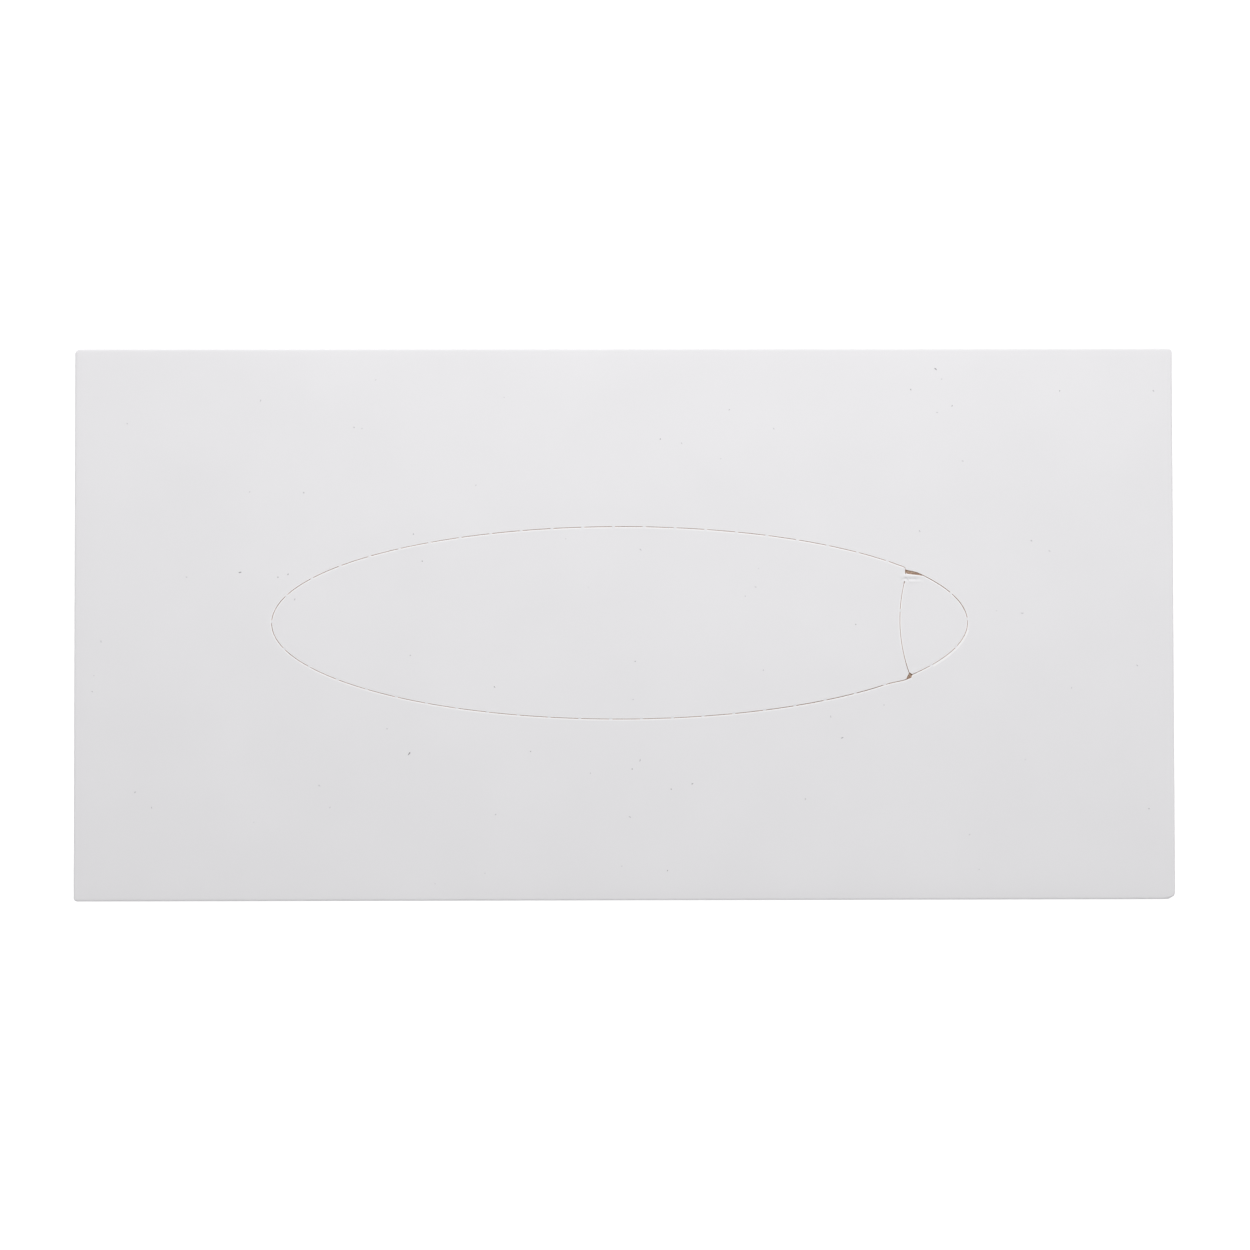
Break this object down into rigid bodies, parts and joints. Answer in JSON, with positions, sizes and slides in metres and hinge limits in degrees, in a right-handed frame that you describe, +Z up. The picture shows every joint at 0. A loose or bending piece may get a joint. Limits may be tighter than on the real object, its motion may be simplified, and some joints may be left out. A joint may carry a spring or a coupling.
{
  "type": "facial tissue carton",
  "caption": "Plain white sealed facial tissue carton lying flat, with a perforated tear-out oval and a finger tab in its top panel.",
  "frame": {"origin": "centre of the bottom panel, on the surface that the carton rests on", "axes": "+X along the carton's length towards the finger tab, +Y to its back long side, +Z up through the top panel"},
  "size_m": [0.229, 0.115, 0.048],
  "materials": {
    "white_boxboard": "matte"
  },
  "bodies": {
    "root": {"tissue_carton": "white_boxboard"}
  },
  "joints": []
}
